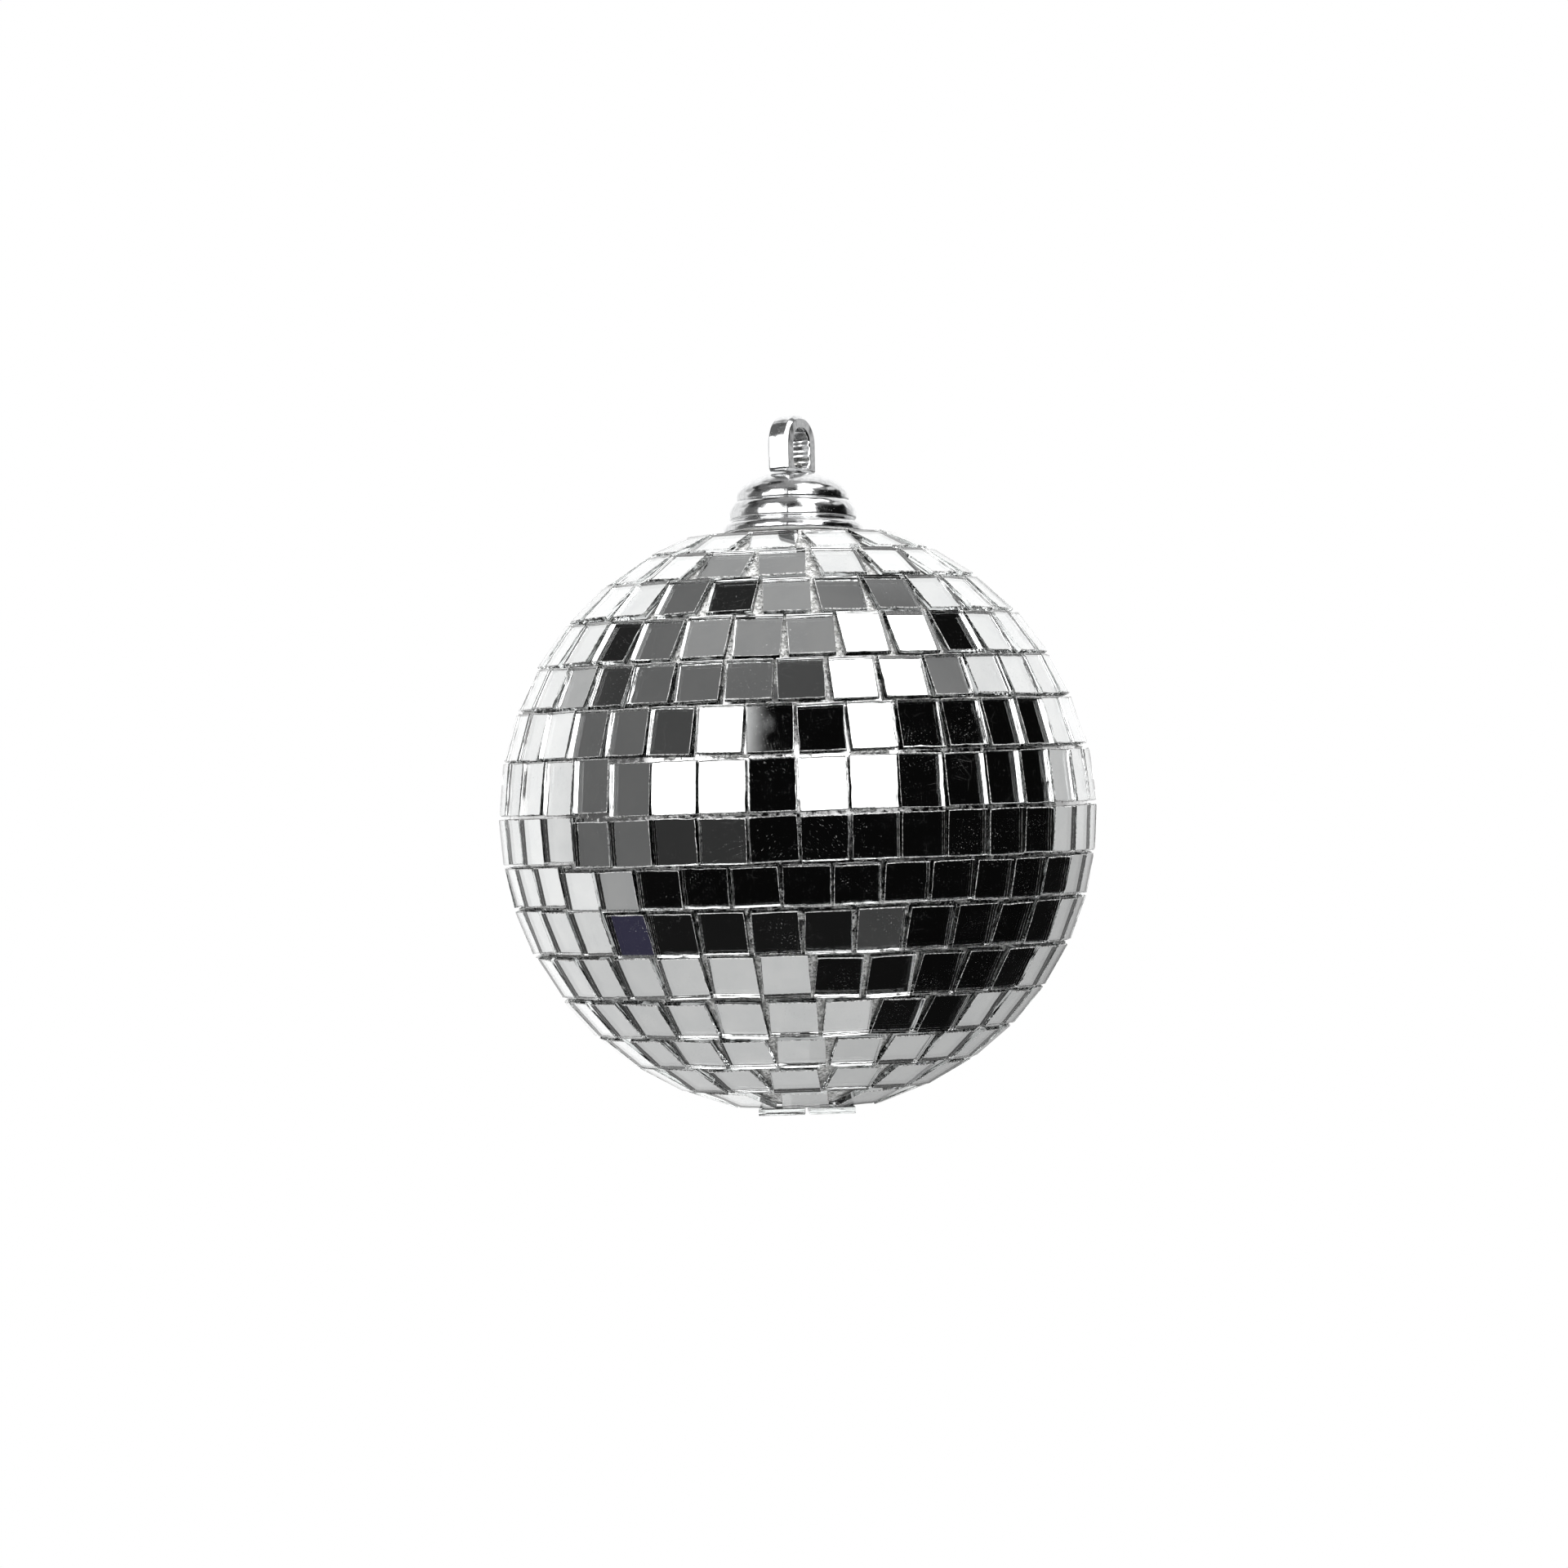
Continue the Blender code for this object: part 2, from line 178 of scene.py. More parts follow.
def ground_edge_material():
    """The arris where the glass was snapped: crushed white in places and clear in others."""
    made, n = material("tile_arris")
    at = n.place()
    crushed = n.ramp(n.noise(at, 3600, 4, 0.65), 0.42, 0.58)
    glass = clear_glass(n, 0.2, n.bump(n.noise(at, 5200, 3), 0.6, 0.05 * MM), colour(0.95, 0.97, 0.96))
    white = n.add(
        "ShaderNodeBsdfPrincipled",
        {
            "Base Color": n.mix(n.noise(at, 7000, 2), colour(0.6, 0.6, 0.6), colour(0.98, 0.98, 0.97)),
            "Roughness": 0.4,
            "Normal": n.bump(n.noise(at, 6000, 4), 1.0, 0.06 * MM),
        },
    )
    share = n.ramp(crushed, 0, 1, 0.25, 0.95)
    shader = n.add("ShaderNodeMixShader", {0: share, 1: glass, 2: white.outputs[0]})
    finish_material(n, shader.outputs[0])
    return made


def glass_edge_material():
    """The snapped sides of a tile: shiny glass with fine hackle marks."""
    made, n = material("tile_glass_edge")
    at = n.place()
    hackle = n.noise(at, 2600, 4, 0.6)
    roughness = n.ramp(n.noise(at, 900, 2), 0.35, 0.7, 0.0, 0.12)
    glass = clear_glass(n, roughness, n.bump(hackle, 0.25, 0.03 * MM), colour(0.98, 0.995, 0.99))
    finish_material(n, glass)
    return made


def silver_material():
    """The silvered back, seen through the glass."""
    made, n = material("tile_silver")
    at = n.place()
    cloud = n.noise(at, 320, 3)
    tone = n.mix(n.ramp(cloud, 0.3, 0.75), colour(0.93, 0.935, 0.935), colour(0.87, 0.88, 0.885))
    silver = n.add(
        "ShaderNodeBsdfPrincipled",
        {"Base Color": tone, "Metallic": 1.0, "Roughness": n.ramp(cloud, 0.3, 0.8, 0.0, 0.03)},
    )
    finish_material(n, silver.outputs[0])
    return made


def crumbly(n, at):
    """Dried glue full of glass crumbs and flakes of silver."""
    crumbs = n.add("ShaderNodeTexVoronoi", {"Vector": at, "Scale": 4200.0})
    shade = n.add("ShaderNodeSeparateColor", {0: crumbs.outputs["Color"]}).outputs[0]
    height = n.math("ADD", crumbs.outputs["Distance"], n.noise(at, 9000, 3))
    tone = n.mix(n.ramp(shade, 0.15, 0.6), colour(0.42, 0.42, 0.41), colour(0.95, 0.95, 0.94))
    return n.add(
        "ShaderNodeBsdfPrincipled",
        {
            "Base Color": tone,
            "Metallic": n.ramp(shade, 0.8, 0.85),
            "Roughness": n.ramp(shade, 0.2, 0.9, 0.5, 0.2),
            "Normal": n.bump(height, 1.0, 0.1 * MM),
        },
    ).outputs[0]


def backing_material():
    """Silvered backing behind the joints, with glue squeezed up over most of it near the poles."""
    made, n = material("backing_film")
    at = n.place()
    film = n.add(
        "ShaderNodeBsdfPrincipled",
        {
            "Base Color": n.mix(n.noise(at, 800, 3), colour(0.8, 0.8, 0.8), colour(0.6, 0.6, 0.6)),
            "Metallic": 1.0,
            "Roughness": n.ramp(n.noise(at, 1500, 3), 0.3, 0.7, 0.04, 0.3),
            "Normal": n.bump(n.noise(at, 2200, 3), 0.25, 0.03 * MM),
        },
    )
    height = n.add("ShaderNodeSeparateXYZ", {0: at}).outputs[2]
    away = n.math("ABSOLUTE", n.math("SUBTRACT", height, CENTRE.z))
    bare = n.ramp(away, 8 * MM, 22 * MM, 0.6, 0.2)
    share = n.ramp(n.math("SUBTRACT", n.noise(at, 1100, 4, 0.6), bare), -0.03, 0.03)
    shader = n.add("ShaderNodeMixShader", {0: share, 1: film.outputs[0], 2: crumbly(n, at)})
    finish_material(n, shader.outputs[0])
    return made


def glue_material():
    """The dried glue that squeezed up between the rows."""
    made, n = material("dried_glue")
    finish_material(n, crumbly(n, n.place()))
    return made


def chrome_material():
    """Bright chrome plating over moulded plastic, a little wavy and dusty."""
    made, n = material("chrome_plated_plastic")
    at = n.place()
    wave = n.noise(at, 240, 2)
    fine = n.noise(at, 2400, 3)
    wavy = n.bump(wave, 0.8, 0.34 * MM)
    dust = n.math("MAXIMUM", specks(n, at, 3800, 0.04, 0.18), specks(n, at, 7600, 0.06, 0.25))
    plating = n.mix(n.ramp(fine, 0.35, 0.7), colour(0.8, 0.805, 0.81), colour(0.7, 0.705, 0.71))
    shader = n.add(
        "ShaderNodeBsdfPrincipled",
        {
            "Base Color": n.mix(dust, plating, colour(0.8, 0.8, 0.79)),
            "Metallic": n.ramp(dust, 0, 1, 1, 0.3),
            "Roughness": n.math("ADD", n.ramp(fine, 0.3, 0.8, 0.13, 0.23), n.math("MULTIPLY", dust, 0.4)),
            "Normal": n.bump(fine, 0.08, 0.02 * MM, wavy),
        },
    )
    finish_material(n, shader.outputs[0])
    return made


def steel_material():
    """Dull zinc plating over steel, for the rivet and its washer."""
    made, n = material("zinc_plated_steel")
    at = n.place()
    grain = n.noise(at, 3000, 4)
    shader = n.add(
        "ShaderNodeBsdfPrincipled",
        {
            "Base Color": n.mix(grain, colour(0.5, 0.5, 0.48), colour(0.68, 0.68, 0.66)),
            "Metallic": 1.0,
            "Roughness": n.ramp(grain, 0.3, 0.7, 0.22, 0.45),
            "Normal": n.bump(grain, 0.2, 0.02 * MM),
        },
    )
    finish_material(n, shader.outputs[0])
    return made


def foam_material():
    """Moulded polystyrene: white beads pressed together."""
    made, n = material("polystyrene_foam")
    at = n.place()
    beads = n.add("ShaderNodeTexVoronoi", {"Vector": at, "Scale": 420.0}, feature="DISTANCE_TO_EDGE")
    seam = n.ramp(beads.outputs["Distance"], 0.0, 0.12)
    shader = n.add(
        "ShaderNodeBsdfPrincipled",
        {
            "Base Color": n.mix(seam, colour(0.68, 0.68, 0.66), colour(0.9, 0.9, 0.88)),
            "Roughness": 0.75,
            "Normal": n.bump(seam, 0.6, 0.15 * MM),
        },
    )
    finish_material(n, shader.outputs[0])
    return made


# The tiles


def corners_of(mesh, polygon):
    """A polygon's corners, by their place to the nearest micrometre."""
    points = (mesh.vertices[index].co for index in polygon.vertices)
    return {tuple(round(value / MM, 3) for value in point): point.copy() for point in points}


def tile_faces(node):
    """The outer face of every tile in a CAD node: its middle, axes and size, in order round the ball."""
    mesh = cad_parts[node].data
    heights = [p.normal.dot(p.center - CENTRE) for p in mesh.polygons]
    outer = max(heights) - 0.05 * MM
    groups = []
    for polygon, height in zip(mesh.polygons, heights):
        if height < outer:
            continue
        corners = corners_of(mesh, polygon)
        for _, found in groups:
            if found.keys() & corners.keys():
                found.update(corners)
                break
        else:
            groups.append((polygon.normal.copy(), corners))
    tiles = []
    for normal, found in groups:
        corners = list(found.values())
        first = corners[0]
        edges = sorted((c - first for c in corners[1:]), key=lambda e: e.length)[:2]
        up = max(edges, key=lambda e: abs(e.z))
        across = min(edges, key=lambda e: abs(e.z))
        if up.z < 0:
            up = -up
        middle = sum(corners, Vector()) / len(corners)
        tiles.append(
            {
                "middle": middle,
                "normal": normal,
                "up": up.normalized(),
                "right": up.normalized().cross(normal),
                "width": across.length,
                "height": up.length,
                "azimuth": math.degrees(math.atan2(normal.x, -normal.y)),
            }
        )
    return sorted(tiles, key=lambda t: t["azimuth"])


def slab_rings(width, height, rng):
    """Rings of points down a tile's side: the face, the arris, the wall and the silvered back."""
    steps = 5
    signs = ((-1, -1), (1, -1), (1, 1), (-1, 1))
    level, upright = (0.035, 0.09), (0.015, 0.045)
    arrises = [rng.uniform(*limits) * MM for limits in (level, upright, level, upright)]
    leans = [rng.uniform(-0.035, 0.015) * MM for _ in range(4)]
    depths = (0.3, 0.52, 0.72, 0.93)
    streaks = [[rng.uniform(-0.01, 0.01) * MM for _ in range(4)] for _ in depths]
    rings = [[] for _ in range(len(depths) + 3)]
    for side in range(4):
        before = (side - 1) % 4
        a, b = signs[side], signs[(side + 1) % 4]
        for step in range(steps):
            t = step / steps
            x = (a[0] * (1 - t) + b[0] * t) * width / 2
            y = (a[1] * (1 - t) + b[1] * t) * height / 2
            chip = abs(rng.gauss(0, 0.006)) * MM
            if step == 0:
                chip = rng.uniform(0.0, 0.06) * MM
            elif rng.random() < 0.08:
                chip = rng.uniform(0.03, 0.1) * MM
            rough = rng.uniform(0.6, 1.5)
            sides = [side] if step else [side, before]
            drops = [0.0, -arrises[side] * rough * 0.8 - chip * 0.4]
            drops += [-GLASS * depth for depth in depths] + [-GLASS]
            for number, drop in enumerate(drops):
                px, py = x, y
                for edge in sides:
                    share = -drop / GLASS
                    inset = chip * (1 - share) - leans[edge] * share
                    if number == 0:
                        inset += arrises[edge] * rough
                    elif number == len(drops) - 1:
                        inset += arrises[edge] * 0.6 * rough
                    elif number > 1:
                        inset += streaks[number - 2][edge]
                    start, end = signs[edge], signs[(edge + 1) % 4]
                    px -= (start[0] + end[0]) / 2 * inset
                    py -= (start[1] + end[1]) / 2 * inset
                rings[number].append((px, py, drop))
    return rings


# Material slots of a tile
FACE, ARRIS, WALL, BACK = range(4)


def add_slab(verts, faces, slots, tile, rng):
    """Adds one tile's points, faces and the material slot of each face to the lists."""
    rings = slab_rings(tile["width"], tile["height"], rng)
    base = len(verts)
    count = len(rings[0])
    basis = Matrix((tile["right"], tile["up"], tile["normal"])).transposed()
    for ring in rings:
        for point in ring:
            verts.append(tile["middle"] + basis @ Vector(point))
    faces.append([base + i for i in range(count)])
    slots.append(FACE)
    last = len(rings) - 2
    for level in range(last + 1):
        high = base + level * count
        low = high + count
        for i in range(count):
            j = (i + 1) % count
            faces.append([high + i, low + i, low + j, high + j])
            slots.append(ARRIS if level in (0, last) else WALL)
    faces.append([base + (last + 1) * count + i for i in reversed(range(count))])
    slots.append(BACK)


def loosen(tile, shift, rng):
    """A tile set by hand: moved, turned and tilted a little from where the strip would put it."""
    loose = dict(tile)
    slack = 0.5 + 1.0 * abs(tile["normal"].z)
    tilt = rng.choice((0.35, 0.35, 0.35, 0.9))
    roll = Matrix.Rotation(math.radians(rng.gauss(0, slack)), 3, tile["normal"])
    lean = Matrix.Rotation(math.radians(rng.gauss(0, tilt)), 3, tile["right"])
    turn = Matrix.Rotation(math.radians(rng.gauss(0, tilt)), 3, tile["up"])
    whole = turn @ lean @ roll
    for key in ("normal", "up", "right"):
        loose[key] = (whole @ tile[key]).normalized()
    loose["middle"] = (
        tile["middle"]
        + tile["up"] * (shift + rng.gauss(0, 0.04) * MM)
        + tile["right"] * rng.gauss(0, 0.03) * MM
        + tile["normal"] * rng.uniform(-0.05, 0.04) * MM
    )
    loose["width"] = tile["width"] + rng.uniform(0.04, 0.18) * MM
    loose["height"] = tile["height"] + rng.uniform(0.06, 0.26) * MM
    return loose


def mesh_object(name, verts, faces, materials, slots=None, smooth=False):
    """A mesh in the scene, with a material slot for each face when slots are given."""
    mesh = bpy.data.meshes.new(name)
    mesh.from_pydata(verts, [], faces)
    for made in materials:
        mesh.materials.append(made)
    if slots:
        mesh.polygons.foreach_set("material_index", slots)
    mesh.polygons.foreach_set("use_smooth", [smooth] * len(faces))
    mesh.update()
    obj = bpy.data.objects.new(name, mesh)
    bpy.context.scene.collection.objects.link(obj)
    return obj


def belongs(obj, body, node=None):
    """Sets the body that a piece moves with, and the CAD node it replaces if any."""
    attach(obj, body)
    if node:
        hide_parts(node)
    return obj


# Where each strip's ends meet, in degrees round from the front, and how far its ends are out of line.
SEAMS = (6, -80, -10, -115, -155, 170, -40, -52, -52, -42, 4, -140, -120, -130, -100)
STEPS = (0.1, 0.2, 0.25, 0.3, 0.25, 0.3, 0.35, 0.4, 0.45, 0.4, 0.35, 0.3, 0.3, 0.2, 0.1)


def add_strips(materials):
    """Every row of tiles, and the four at the lower pole. Returns the rows as the CAD has them."""
    rows = []
    for number, node in enumerate(STRIPS):
        rng = random.Random(100 + number)
        tiles = tile_faces(node)
        verts, faces, slots = [], [], []
        for tile in tiles:
            along = ((tile["azimuth"] - SEAMS[number]) % 360) / 360
            shift = (along - 0.5) * STEPS[number] * MM
            add_slab(verts, faces, slots, loosen(tile, shift, rng), rng)
        obj = mesh_object(f"tiles_{number + 1:02}", verts, faces, materials, slots)
        belongs(obj, "ball", node)
        rows.append(tiles)
    rng = random.Random(99)
    verts, faces, slots = [], [], []
    for tile in tile_faces("pole_patch"):
        add_slab(verts, faces, slots, loosen(tile, 0, rng), rng)
    belongs(mesh_object("tiles_pole", verts, faces, materials, slots), "ball", "pole_patch")
    return rows


def rows_axis(rows):
    """The axis that the rows are laid round: the mean of the tiles' up directions in a full ring."""
    ring = rows[len(rows) // 2]
    return sum((t["up"] for t in ring), Vector()).normalized()


def on_ball(axis, latitude, azimuth, radius):
    """A point at a latitude about the rows' axis, with azimuth 0 at the front."""
    right = Vector((0, -1, 0)).cross(axis).normalized() * -1
    front = axis.cross(right)
    if front.y > 0:
        front = -front
    around = front * math.cos(azimuth) + right * math.sin(azimuth)
    return CENTRE + (around * math.cos(latitude) + axis * math.sin(latitude)) * radius


def latitudes(axis, tiles):
    """The lower and upper latitude of a row of tiles at the back of the glass."""
    tile = tiles[0]
    edges = []
    for sign in (-0.5, 0.5):
        point = tile["middle"] - tile["normal"] * GLASS + tile["up"] * tile["height"] * sign - CENTRE
        edges.append(math.asin(point.normalized().dot(axis)))
    return edges


def add_backing(axis, material_made):
    """The tape under the tiles, from the cap down to the lower pole."""
    around, down = 180, 90
    top, bottom = math.radians(78), math.radians(-89)
    verts, faces = [], []
    radius = CORE_RADIUS + BACKING_RISE
    for i in range(down):
        latitude = top + (bottom - top) * i / (down - 1)
        for j in range(around):
            point = on_ball(axis, latitude, 2 * math.pi * j / around, 1.0) - CENTRE
            bumps = noise.noise(point * 45) * 0.05 * MM
            verts.append(CENTRE + point * (radius + bumps))
    for i in range(down - 1):
        for j in range(around):
            k = (j + 1) % around
            faces.append([i * around + j, i * around + k, (i + 1) * around + k, (i + 1) * around + j])
    faces.append([(down - 1) * around + j for j in range(around)])
    obj = mesh_object("backing_tape", verts, faces, [material_made], smooth=True)
    return belongs(obj, "ball")


def add_glue(number, axis, low, high, material_made):
    """Crumbs of dried glue squeezed up here and there in the joint between two rows."""
    middle, half = (low + high) / 2, (high - low) / 2
    around = max(60, int(720 * math.cos(middle)))
    profile = ((-1.5, 0.0), (-0.8, 0.35), (-0.3, 0.8), (0.3, 0.8), (0.8, 0.35), (1.5, 0.0))
    verts, faces = [], []
    for j in range(around):
        azimuth = 2 * math.pi * j / around
        direction = on_ball(axis, middle, azimuth, 1.0) - CENTRE
        amount = noise.noise(direction * 7 + Vector((number, 0, 0))) * 1.6 - 0.25
        amount += noise.noise(direction * 60) * 0.6
        for across, rise in profile:
            latitude = middle + half * across * 0.8
            point = on_ball(axis, latitude, azimuth, 1.0) - CENTRE
            crumb = noise.noise(point * 160 + Vector((0, number, 0))) * 0.3
            height = GLUE_RISE + rise * min(0.8, max(0.0, amount + crumb)) * MM
            verts.append(CENTRE + point * (CORE_RADIUS + height))
    size = len(profile)
    for j in range(around):
        k = (j + 1) % around
        for i in range(size - 1):
            faces.append([j * size + i, k * size + i, k * size + i + 1, j * size + i + 1])
    obj = mesh_object(f"glue_{number:02}", verts, faces, [material_made], smooth=True)
    return belongs(obj, "ball")


# The cap and the eye, in millimetres above the ball's centre


def arc(cx, cz, rx, rz, start, end, points):
    """Points along a part of an ellipse, from one angle in degrees to another."""
    angles = [math.radians(start + (end - start) * i / (points - 1)) for i in range(points)]
    return [(cx + rx * math.cos(a), cz + rz * math.sin(a)) for a in angles]


def tier(radius, foot, rise, start, points):
    """One step of the cap: a dome's side, widest at its foot, which turns in to a groove below."""
    round_in = min(radius, 1.35)
    side = arc(radius - round_in, foot, round_in, rise, start, 0, points)
    lip = arc(radius - 0.3, foot - 0.05, 0.3, 0.3, 0, -75, 6)
    return side + lip


def cap_profile():
    """The cap's section: down its outside over the dome, waist and flange, then down the stem."""
    low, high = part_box("cap")
    top = (high.z - CENTRE.z) / MM
    radius = (high.x - low.x) / 2 / MM
    dome = radius - 1.47
    outside = [(0.95, top - 0.2), (1.02, top - 0.05), (1.2, top), (3.0, top), (3.2, top - 0.02)]
    outside += arc(0, top - 2.6, dome, 3.05, 57, 0, 24)
    outside += arc(dome - 0.25, top - 2.65, 0.25, 0.25, 0, -75, 6)
    outside += tier(radius - 0.68, top - 4.6, 1.9, 76, 20)
    outside += tier(radius, top - 6.0, 0.95, 76, 14)[:14]
    outside += [(radius, top - 6.3), (radius - 0.1, top - 6.45)]
    outside += [(radius - 0.4, top - 6.55), (radius - 1.1, top - 6.55)]
    inside = [(5.77, top - 4.6), (5.0, top - 2.6), (3.9, top - 1.1), (3.1, top - 1.1), (3.1, top - 10.0)]
    return outside + inside


def add_cap(made):
    """The stepped cap, with the faint line where its mould parted at the front and the back."""
    segments, seam_height = 240, 0.018
    seams = (segments // 4 - 3, segments * 3 // 4 - 3)
    profile = cap_profile()
    size = len(profile)
    verts, faces = [], []
    for j in range(segments):
        angle = 2 * math.pi * j / segments
        seam = seam_height if j in seams else 0.0
        for radius, height in profile:
            wide = (radius + seam) * MM
            verts.append(CENTRE + Vector((wide * math.cos(angle), wide * math.sin(angle), height * MM)))
    for j in range(segments):
        k = (j + 1) % segments
        for i in range(size - 1):
            faces.append([j * size + i, j * size + i + 1, k * size + i + 1, k * size + i])
    cap = mesh_object("cap_shell", verts, faces, [made], smooth=True)
    return belongs(cap, "ball", "cap")


def outline(half, low, high, top_corner, foot_corner, count):
    """Evenly spaced points round a shape with a rounded top, anticlockwise from its foot's middle."""
    right = arc(half - foot_corner, low + foot_corner, foot_corner, foot_corner, -90, 0, 16)
    right += arc(half - top_corner, high - top_corner, top_corner, top_corner, 0, 90, 40)
    left = [(-x, z) for x, z in reversed(right)]
    path = [Vector(p) for p in [(0, low)] + right + left + [(0, low)]]
    lengths = [0.0]
    for a, b in zip(path, path[1:]):
        lengths.append(lengths[-1] + (b - a).length)
    points, leg = [], 0
    for i in range(count):
        want = lengths[-1] * i / count
        while lengths[leg + 1] < want:
            leg += 1
        share = (want - lengths[leg]) / max(lengths[leg + 1] - lengths[leg], 1e-9)
        points.append(path[leg].lerp(path[leg + 1], share))
    return points


def outward(points):
    """The outward direction at each point of an anticlockwise outline."""
    count = len(points)
    along = [points[(i + 1) % count] - points[i - 1] for i in range(count)]
    return [Vector((step.y, -step.x)).normalized() for step in along]


def eye_turn():
    """The direction that the eye's flat side faces, in radians from +X: most of its upright area does."""
    areas = {}
    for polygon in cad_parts["hanging_eye"].data.polygons:
        if abs(polygon.normal.z) < 0.01:
            key = round(math.atan2(polygon.normal.y, polygon.normal.x), 2)
            areas[key] = areas.get(key, 0) + polygon.area
    return max(areas, key=areas.get)


# The chamfer round the eye, as shares of its width: how far in from the side and below the face.
CHAMFER = ((0, 1.12), (0, 1), (0.03, 0.92), (0.13, 0.8), (0.8, 0.13), (0.92, 0.03), (1, 0), (1.12, 0))


def add_eye(made):
    """The hanging eye: a plate with a rounded top, chamfered edges and shallow ribs inside its hole."""
    low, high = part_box("hanging_eye")
    foot, top = (low.z - CENTRE.z) / MM, (high.z - CENTRE.z) / MM
    count, half, chamfer, soft = 180, 1.3, 0.38, 0.18
    rib_depth, rib_pitch = 0.05, 1.2
    outer = outline(3.25, foot, top, 3.05, 0.42, count)
    hole = outline(1.65, foot + 0.6, top - 1.5, 1.45, 0.7, count)
    turn = eye_turn()
    facing = Vector((math.cos(turn), math.sin(turn), 0))
    across = Vector((0, 0, 1)).cross(facing)
    verts, faces = [], []
    for rim, out_rim, edge, out_edge in zip(outer, outward(outer), hole, outward(hole)):
        rib = rib_depth * math.sin(2 * math.pi * edge.y / rib_pitch) * abs(out_edge.x)
        front = [(rim - out_rim * (chamfer * inset), half - chamfer * drop) for inset, drop in CHAMFER]
        for inset, drop in reversed(CHAMFER):
            front.append((edge + out_edge * (soft * inset + rib * min(1, drop)), half - soft * drop))
        section = front + [(point, -depth) for point, depth in reversed(front)]
        for point, depth in section:
            verts.append(CENTRE + (across * point.x + facing * depth + Vector((0, 0, point.y))) * MM)
    size = len(section)
    for i in range(count):
        k = (i + 1) % count
        for j in range(size):
            m = (j + 1) % size
            faces.append([i * size + j, i * size + m, k * size + m, k * size + j])
    eye = mesh_object("eye_loop", verts, faces, [made], smooth=True)
    return belongs(eye, "hanger", "hanging_eye")


def build():
    """The visible pieces, and the materials of the CAD nodes carried over."""
    made = {
        "face": glass_face_material(),
        "arris": ground_edge_material(),
        "wall": glass_edge_material(),
        "silver": silver_material(),
        "backing": backing_material(),
        "glue": glue_material(),
        "chrome": chrome_material(),
        "steel": steel_material(),
        "foam": foam_material(),
    }
    rows = add_strips([made["face"], made["arris"], made["wall"], made["silver"]])
    axis = rows_axis(rows)
    add_backing(axis, made["backing"])
    bands = [latitudes(axis, tiles) for tiles in rows]
    for number, (upper, lower) in enumerate(zip(bands, bands[1:]), start=1):
        add_glue(number, axis, lower[1], upper[0], made["glue"])
    add_cap(made["chrome"])
    add_eye(made["chrome"])
    for node, finish in (
        ("foam_core", "foam"),
        ("swivel_rivet", "steel"),
        ("rivet_washer", "steel"),
    ):
        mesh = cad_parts[node].data
        mesh.materials.clear()
        mesh.materials.append(made[finish])


# The studio


# What stands round the ball: azimuths from the camera towards the right, heights above the horizon,
# the screen grey it shows in a mirror and how soft its edges are, all angles in degrees.
PATCHES = (
    # (left, right, low, high, grey, softness)
    (-182, -150, -22, 58, 1.02, 12),
    (150, 182, 4, 58, 1.02, 12),
    (128, 182, -82, 0, 0.7, 8),
    (-60, 121, -60, 46, 0.03, 4),
    (-83, -57, -48, -33, 0.03, 3),
    (-92, -69, -30, -14, 0.6, 5),
    (-71, -52, -33, -13, 0.04, 4),
    (-62, -19, -19, -2, 0.19, 6),
    (-70, 22, -53, -37, 0.085, 6),
    (35, 51, -51, -37, 0.24, 3),
    (14, 128, -72, -50, 0.06, 5),
    (114, 134, -53, -7, 0.05, 6),
    (116, 134, -6, 14, 0.74, 5),
    (88, 120, 31, 43, 0.88, 5),
    (-126, -110, 24, 36, 0.69, 4),
    (-106, -58, -14, 47, 0.38, 4),
    (-62, -49, 24, 47, 0.27, 3),
    (-102, -80, 29, 47, 0.2, 6),
    (-128, 26, 44, 84, 0.4, 4),
    (-88, 26, 57, 77, 0.56, 4),
    (-6, 14, 46, 57, 0.28, 3),
    (-128, -100, 37, 52, 0.14, 5),
    (50, 90, 38, 49, 0.12, 6),
    (86, 118, 42, 57, 0.05, 4),
    (-180, 180, 77, 91, 0.6, 4),
    (84, 126, 54, 79, 0.4, 6),
    (-182, -138, 52, 78, 0.6, 5),
    (-140, -95, 61, 78, 0.15, 6),
    (-30, -12.1, 28, 34, 1.0, 0.5),
    (-63, -17, 1, 25, 1.6, 2.5),
    (-50, -24, 24, 45, 1.6, 3),
    (-4, 42, 1, 25, 1.6, 2.5),
    (19, 48, 24, 45, 1.6, 3),
    (22, 62, 44, 60, 1.6, 4),
    (66, 82, 36, 48, 0.7, 12),
    (60, 94, 49, 61, 1.6, 3),
    (30, 84, 56, 77, 1.6, 4),
)
# One bluish thing low on the left shows in a tile or two.
BLUISH = (-96, -82, -46, -32, 0.22, 4)
# The greys of the walls below and above the horizon, and what makes up for the light lost in a tile
LOW_GREY, HIGH_GREY = 0.745, 0.94
MIRROR_LOSS = 1.1


def patch_mask(n, azimuth, height, patch):
    """One inside a patch and nothing outside it, with soft edges."""
    left, right, low, high, _, soft = patch
    edges = (
        n.ramp(azimuth, left - soft / 2, left + soft / 2),
        n.ramp(azimuth, right - soft / 2, right + soft / 2, 1, 0),
        n.ramp(height, low - soft / 2, low + soft / 2),
        n.ramp(height, high - soft / 2, high + soft / 2, 1, 0),
    )
    across = n.math("MULTIPLY", edges[0], edges[1])
    upright = n.math("MULTIPLY", edges[2], edges[3])
    return n.math("MULTIPLY", across, upright)


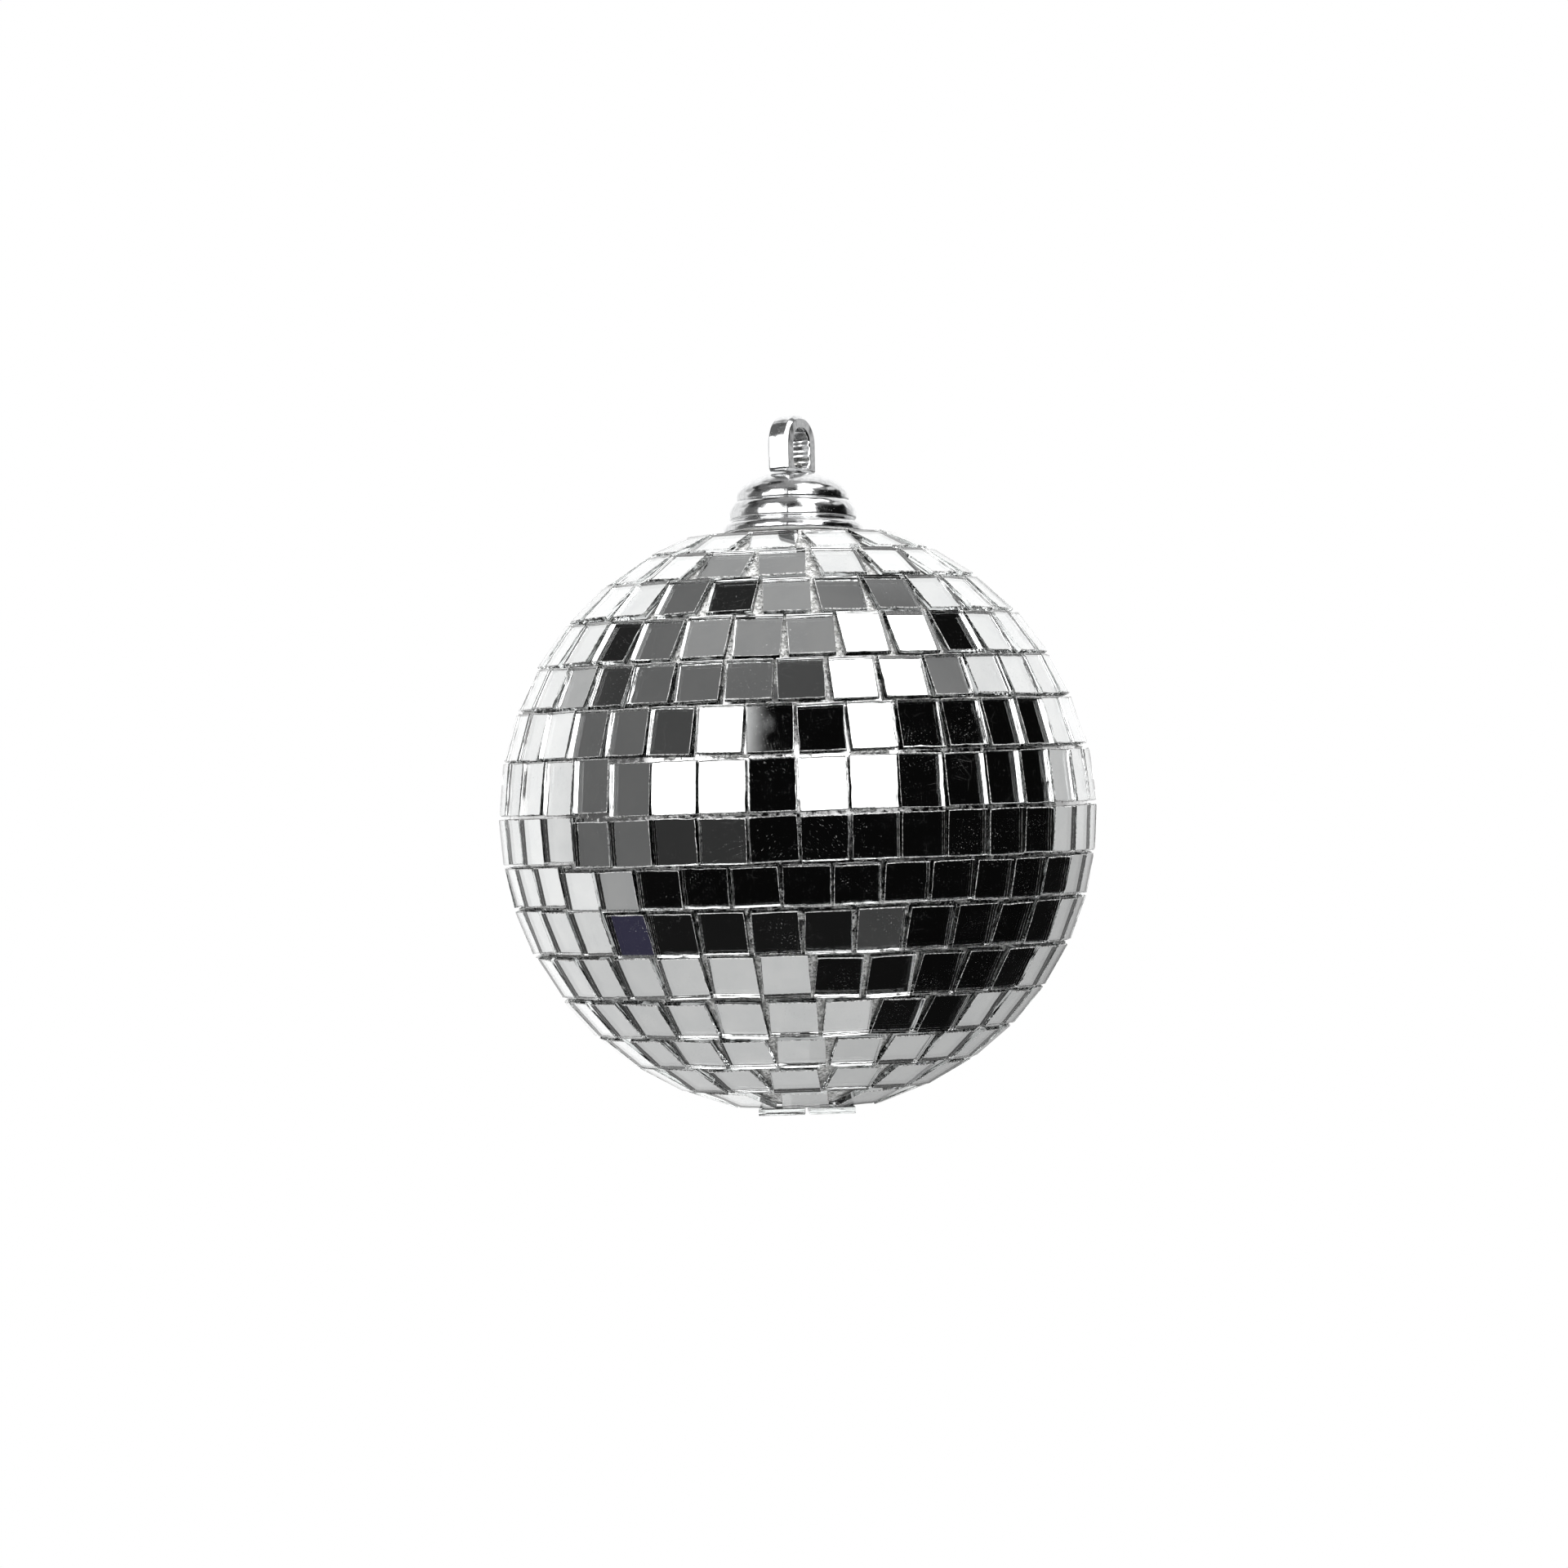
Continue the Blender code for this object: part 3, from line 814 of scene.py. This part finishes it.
def add_world():
    """The studio as the mirrors see it. To the camera itself the background is white."""
    world = bpy.data.worlds.new("studio")
    bpy.context.scene.world = world
    world.use_nodes = True
    n = Nodes(world.node_tree)
    way = n.add("ShaderNodeSeparateXYZ", {0: n.add("ShaderNodeTexCoord").outputs["Generated"]})
    x, y, z = way.outputs
    azimuth = n.math("MULTIPLY", n.math("ARCTAN2", x, n.math("MULTIPLY", y, -1.0)), 180 / math.pi)
    height = n.math("MULTIPLY", n.math("ARCSINE", z), 180 / math.pi)
    level = n.ramp(height, -42, -3, grey(LOW_GREY) * MIRROR_LOSS, grey(HIGH_GREY) * MIRROR_LOSS)
    for patch in PATCHES + (BLUISH,):
        value = grey(patch[4]) * MIRROR_LOSS
        mask = patch_mask(n, azimuth, height, patch)
        level = n.math("ADD", level, n.math("MULTIPLY", mask, n.math("SUBTRACT", value, level)))
    tint = n.mix(patch_mask(n, azimuth, height, BLUISH), colour(1, 1, 1), colour(0.8, 0.75, 1.35))
    seen = n.add("ShaderNodeLightPath").outputs["Is Camera Ray"]
    strength = n.math("ADD", level, n.math("MULTIPLY", seen, n.math("SUBTRACT", 1.0, level)))
    shown = n.mix(seen, tint, colour(1, 1, 1))
    background = n.add("ShaderNodeBackground", {"Color": shown, "Strength": strength})
    n.add("ShaderNodeOutputWorld", {"Surface": background.outputs[0]})


def add_floor():
    """A plain pale floor, well below the ball so that the ball can be seen from underneath."""
    made, n = material("pale_floor")
    cloud = n.noise(n.place(), 6, 4)
    shader = n.add(
        "ShaderNodeBsdfPrincipled",
        {"Base Color": n.mix(cloud, colour(0.86, 0.86, 0.86), colour(0.9, 0.9, 0.9)), "Roughness": 0.6},
    )
    finish_material(n, shader.outputs[0])
    sides, radius, level = 96, 1.5, CENTRE.z - 0.75
    angles = [2 * math.pi * i / sides for i in range(sides)]
    ring = [(radius * math.cos(angle), radius * math.sin(angle), level) for angle in angles]
    floor = mesh_object("floor", ring, [list(range(sides))], [made])
    floor.visible_glossy = False
    floor.visible_transmission = False


def add_lamp():
    """A wide soft lamp above, for the surfaces that aren't mirrors."""
    lamp = bpy.data.lights.new("overhead", "AREA")
    lamp.shape = "DISK"
    lamp.size = 1.2
    lamp.energy = 22
    obj = bpy.data.objects.new("overhead", lamp)
    obj.location = CENTRE + Vector((0.2, -0.3, 1.6))
    obj.rotation_euler = (CENTRE - obj.location).to_track_quat("-Z", "Y").to_euler()
    obj.visible_glossy = False
    obj.visible_transmission = False
    bpy.context.scene.collection.objects.link(obj)


def add_camera():
    """In front of the ball, twenty of its radii away, looking up a little and rolled a little."""
    distance, aside, above = 646 * MM, 1.51 * MM, 3.38 * MM
    tilt, roll = math.radians(3.0), math.radians(1.0)
    forward = Vector((0, math.cos(tilt), math.sin(tilt)))
    up = Vector((0, -math.sin(tilt), math.cos(tilt)))
    turn = Matrix.Rotation(roll, 3, forward)
    right, up = turn @ Vector((1, 0, 0)), turn @ up
    data = bpy.data.cameras.new("camera")
    data.sensor_width = 36
    data.lens = 136.3
    data.clip_start, data.clip_end = 0.01, 20
    camera = bpy.data.objects.new("camera", data)
    camera.location = CENTRE - forward * distance - right * aside + up * above
    camera.rotation_euler = Matrix((right, up, -forward)).transposed().to_euler()
    bpy.context.scene.collection.objects.link(camera)
    bpy.context.scene.camera = camera


build()
add_world()
add_floor()
add_lamp()
add_camera()
bpy.context.scene.view_settings.view_transform = "Standard"
